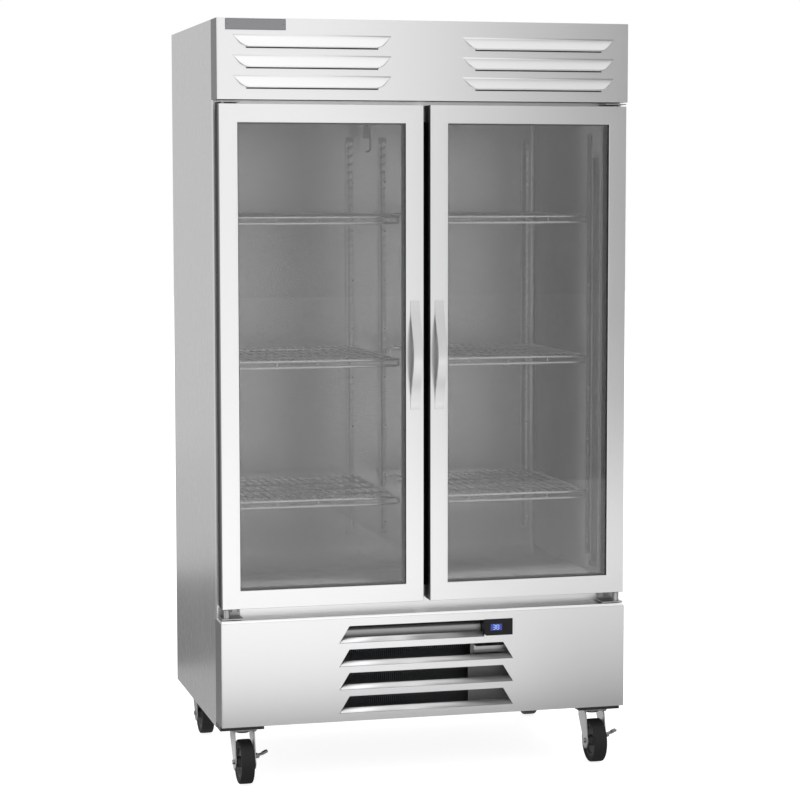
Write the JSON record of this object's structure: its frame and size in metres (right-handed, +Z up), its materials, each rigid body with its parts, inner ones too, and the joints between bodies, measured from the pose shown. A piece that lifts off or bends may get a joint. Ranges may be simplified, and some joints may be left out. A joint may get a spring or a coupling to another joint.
{
  "type": "glass door merchandiser",
  "caption": "Upright stainless merchandiser with hinged glass doors, wire shelves, a louvred header, a bottom-mounted refrigeration unit and swivel casters.",
  "frame": {"origin": "on the floor, at the middle of the object's footprint", "axes": "+Z up, the doors face -Y, +X to the right seen from the front"},
  "size_m": [1.194, 0.829, 2.1525],
  "materials": {
    "stainless": "satin",
    "liner": "satin",
    "galvanised_sheet": "satin",
    "black_plastic": "satin",
    "badge_zinc": "satin",
    "zinc_plate": "satin",
    "shelf_wire": "gloss",
    "lamp_cover": "satin",
    "evaporator_sheet": "satin",
    "coil_fins": "satin",
    "black_paint": "satin",
    "door_frame": "satin",
    "door_glass": "gloss",
    "gasket_rubber": "matte",
    "handle_steel": "satin",
    "key_plastic": "satin",
    "caster_rubber": "matte",
    "fan_metal": "satin"
  },
  "bodies": {
    "cabinet": {"left_side_panel": "stainless", "right_side_panel": "stainless", "left_wall": "liner", "right_wall": "liner", "back_wall": "galvanised_sheet", "ceiling": "galvanised_sheet", "cabinet_floor": "liner", "face_frame": "stainless", "center_mullion": "stainless", "header_panel": "stainless", "grille_panel": "stainless", "sill_ledge": "stainless", "base_frame": "galvanised_sheet", "badge_plate": "badge_zinc", "rear_grille": "galvanised_sheet", "power_gland": "black_plastic", "left_lower_hinge": "zinc_plate", "left_upper_hinge": "zinc_plate", "right_lower_hinge": "zinc_plate", "right_upper_hinge": "zinc_plate", "left_shelf_upper": "shelf_wire", "left_shelf_middle": "shelf_wire", "left_shelf_lower": "shelf_wire", "right_shelf_upper": "shelf_wire", "right_shelf_middle": "shelf_wire", "right_shelf_lower": "shelf_wire", "led_bar_left": "lamp_cover", "led_bar_right": "lamp_cover", "evaporator_cover": "evaporator_sheet", "evaporator_coil": "coil_fins", "compressor": "black_paint", "condenser_coil": "coil_fins", "fan_shroud": "black_paint", "controller": "black_plastic", "front_left_plate": "zinc_plate", "front_right_plate": "zinc_plate", "rear_left_plate": "zinc_plate", "rear_right_plate": "zinc_plate"},
    "left_door": {"left_door_frame": "door_frame", "left_glass_unit": "door_glass", "left_gasket": "gasket_rubber", "left_handle": "handle_steel"},
    "right_door": {"right_door_frame": "door_frame", "right_glass_unit": "door_glass", "right_gasket": "gasket_rubber", "right_handle": "handle_steel"},
    "front_left_swivel": {"front_left_fork": "zinc_plate"},
    "front_left_roller": {"front_left_wheel": "caster_rubber"},
    "front_right_swivel": {"front_right_fork": "zinc_plate"},
    "front_right_roller": {"front_right_wheel": "caster_rubber"},
    "rear_left_swivel": {"rear_left_fork": "zinc_plate"},
    "rear_left_roller": {"rear_left_wheel": "caster_rubber"},
    "rear_right_swivel": {"rear_right_fork": "zinc_plate"},
    "rear_right_roller": {"rear_right_wheel": "caster_rubber"},
    "front_left_lever": {"front_left_brake": "zinc_plate"},
    "front_right_lever": {"front_right_brake": "zinc_plate"},
    "condenser_rotor": {"condenser_fan": "fan_metal"},
    "evaporator_rotor": {"evaporator_fan": "black_plastic"},
    "left_button": {"left_key": "key_plastic"},
    "right_button": {"right_key": "key_plastic"}
  },
  "joints": [
    {"name": "left_door_hinge", "type": "hinge", "parent": "cabinet", "child": "left_door", "pos_m": [-0.577, -0.3525, 1.214], "axis": [0, 0, -1], "range_deg": [0, 120], "stiffness_Nm_per_rad": 3, "springref_deg": -20.05},
    {"name": "right_door_hinge", "type": "hinge", "parent": "cabinet", "child": "right_door", "pos_m": [0.577, -0.3525, 1.214], "axis": [0, 0, 1], "range_deg": [0, 120], "stiffness_Nm_per_rad": 3, "springref_deg": -20.05},
    {"name": "front_left_caster_swivel", "type": "hinge", "parent": "cabinet", "child": "front_left_swivel", "pos_m": [-0.5245, -0.2935, 0.146], "axis": [0, 0, 1], "continuous": true},
    {"name": "front_left_wheel_spin", "type": "hinge", "parent": "front_left_swivel", "child": "front_left_roller", "pos_m": [-0.5245, -0.3255, 0.0635], "axis": [1, 0, 0], "continuous": true},
    {"name": "front_left_brake_press", "type": "hinge", "parent": "front_left_swivel", "child": "front_left_lever", "pos_m": [-0.4883, -0.3255, 0.0785], "axis": [0, 1, 0], "range_deg": [0, 25]},
    {"name": "front_right_caster_swivel", "type": "hinge", "parent": "cabinet", "child": "front_right_swivel", "pos_m": [0.5245, -0.2935, 0.146], "axis": [0, 0, 1], "continuous": true},
    {"name": "front_right_wheel_spin", "type": "hinge", "parent": "front_right_swivel", "child": "front_right_roller", "pos_m": [0.5245, -0.3255, 0.0635], "axis": [1, 0, 0], "continuous": true},
    {"name": "front_right_brake_press", "type": "hinge", "parent": "front_right_swivel", "child": "front_right_lever", "pos_m": [0.5607, -0.3255, 0.0785], "axis": [0, 1, 0], "range_deg": [0, 25]},
    {"name": "rear_left_caster_swivel", "type": "hinge", "parent": "cabinet", "child": "rear_left_swivel", "pos_m": [-0.5245, 0.3625, 0.146], "axis": [0, 0, 1], "continuous": true},
    {"name": "rear_left_wheel_spin", "type": "hinge", "parent": "rear_left_swivel", "child": "rear_left_roller", "pos_m": [-0.5245, 0.3305, 0.0635], "axis": [1, 0, 0], "continuous": true},
    {"name": "rear_right_caster_swivel", "type": "hinge", "parent": "cabinet", "child": "rear_right_swivel", "pos_m": [0.5245, 0.3625, 0.146], "axis": [0, 0, 1], "continuous": true},
    {"name": "rear_right_wheel_spin", "type": "hinge", "parent": "rear_right_swivel", "child": "rear_right_roller", "pos_m": [0.5245, 0.3305, 0.0635], "axis": [1, 0, 0], "continuous": true},
    {"name": "condenser_fan_spin", "type": "hinge", "parent": "cabinet", "child": "condenser_rotor", "pos_m": [0, -0.1875, 0.3029], "axis": [0, 1, 0], "continuous": true},
    {"name": "evaporator_fan_spin", "type": "hinge", "parent": "cabinet", "child": "evaporator_rotor", "pos_m": [-0.18, -0.0885, 2.00425], "axis": [0, 1, 0], "continuous": true},
    {"name": "left_key_press", "type": "slide", "parent": "cabinet", "child": "left_button", "axis": [0, 1, 0], "range_m": [0, 0.0008], "stiffness_N_per_m": 400},
    {"name": "right_key_press", "type": "slide", "parent": "cabinet", "child": "right_button", "axis": [0, 1, 0], "range_m": [0, 0.0008], "stiffness_N_per_m": 400}
  ]
}
